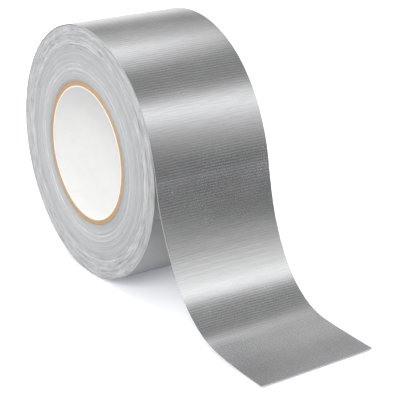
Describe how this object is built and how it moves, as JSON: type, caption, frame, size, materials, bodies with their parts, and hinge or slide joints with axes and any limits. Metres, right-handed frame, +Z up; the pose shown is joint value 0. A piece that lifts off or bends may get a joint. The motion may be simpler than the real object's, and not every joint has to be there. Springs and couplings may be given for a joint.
{
  "type": "duct tape roll",
  "caption": "Wide roll of silver cloth-backed duct tape on a paperboard core, with a peeled tail hanging from the roll to the floor.",
  "frame": {"origin": "centre of the core's bore, midway across the tape's width", "axes": "+Y along the roll's axis, +Z up with the roll standing on its rim, +X towards the side where the free tail leaves"},
  "size_m": [0.2422, 0.072, 0.1464],
  "materials": {
    "tape_film": "satin",
    "tape_scrim": "matte",
    "tape_adhesive": "satin",
    "wound_tape": "matte",
    "core_board": "matte",
    "core_liner": "matte"
  },
  "bodies": {
    "outer_turn": {"outer_turn_film": "tape_film", "outer_turn_scrim": "tape_scrim", "outer_turn_adhesive": "tape_adhesive"},
    "wound_roll": {"core_liner_ply": "core_liner", "core_board_ply_1": "core_board", "core_board_ply_2": "core_board", "core_board_ply_3": "core_board", "core_wrap_ply": "core_board", "wound_turns_1": "wound_tape", "wound_turns_2": "wound_tape", "wound_turns_3": "wound_tape", "wound_turns_4": "wound_tape"},
    "tail_upper": {"tail_upper_film": "tape_film", "tail_upper_scrim": "tape_scrim", "tail_upper_adhesive": "tape_adhesive"},
    "tail_middle": {"tail_middle_film": "tape_film", "tail_middle_scrim": "tape_scrim", "tail_middle_adhesive": "tape_adhesive"},
    "tail_lower": {"tail_lower_film": "tape_film", "tail_lower_scrim": "tape_scrim", "tail_lower_adhesive": "tape_adhesive"}
  },
  "joints": [
    {"name": "roll_spin", "type": "hinge", "parent": "outer_turn", "child": "wound_roll", "pos_m": [0, 0, 0], "axis": [0, 1, 0], "continuous": true},
    {"name": "tail_peel", "type": "hinge", "parent": "outer_turn", "child": "tail_upper", "pos_m": [0.05652, 0, 0.04659], "axis": [0, -1, 0], "range_deg": [0, 100], "stiffness_Nm_per_rad": 0.02},
    {"name": "tail_bend_upper", "type": "hinge", "parent": "tail_upper", "child": "tail_middle", "pos_m": [0.07978, 0, -0.01006], "axis": [0, -1, 0], "range_deg": [-20, 45], "stiffness_Nm_per_rad": 0.02},
    {"name": "tail_bend_lower", "type": "hinge", "parent": "tail_middle", "child": "tail_lower", "pos_m": [0.10871, 0, -0.06191], "axis": [0, -1, 0], "range_deg": [-20, 45], "stiffness_Nm_per_rad": 0.02}
  ]
}
